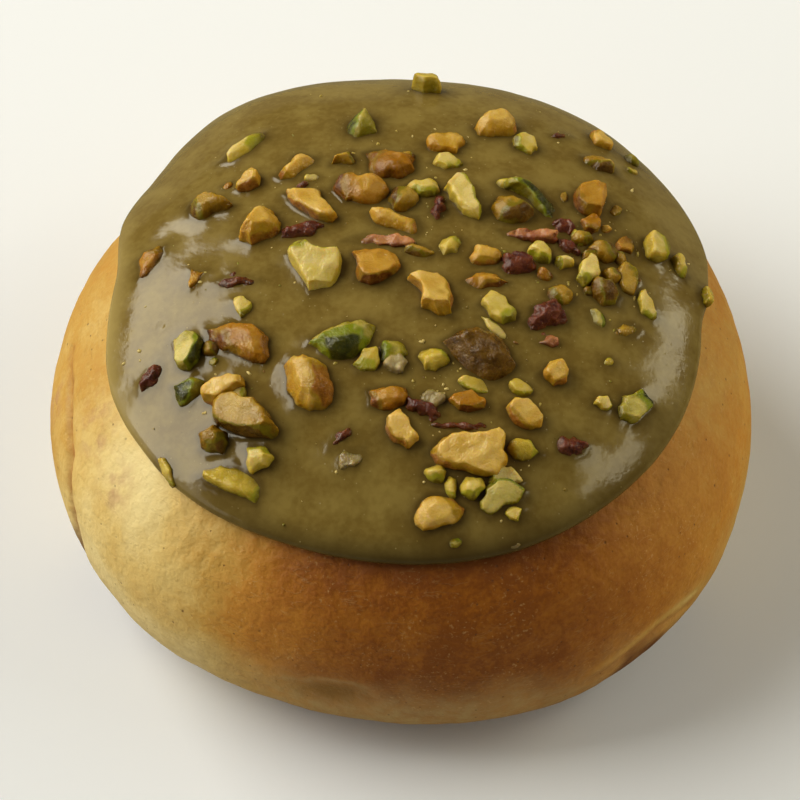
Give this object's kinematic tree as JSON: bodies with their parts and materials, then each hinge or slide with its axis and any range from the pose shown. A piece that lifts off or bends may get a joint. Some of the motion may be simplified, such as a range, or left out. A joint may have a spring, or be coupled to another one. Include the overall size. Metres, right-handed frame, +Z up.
{
  "type": "pistachio topped bun",
  "caption": "Round baked sweet bun with an olive pistachio glaze over its crown and chopped pistachios strewn on the glaze.",
  "frame": {"origin": "centre of the outline of the bun, on the surface it stands on", "axes": "+Z up, -Y towards the front, +X to the right as seen from the front"},
  "size_m": [0.0948, 0.0958, 0.0488],
  "materials": {
    "bun_crust": "baked egg-washed crust, satin, pale golden on the left to chestnut brown at the front",
    "glaze": "glossy smooth olive pistachio icing with chopped pistachios"
  },
  "bodies": {
    "root": {"bun": "bun_crust", "pistachio_glaze": "glaze"}
  },
  "joints": []
}
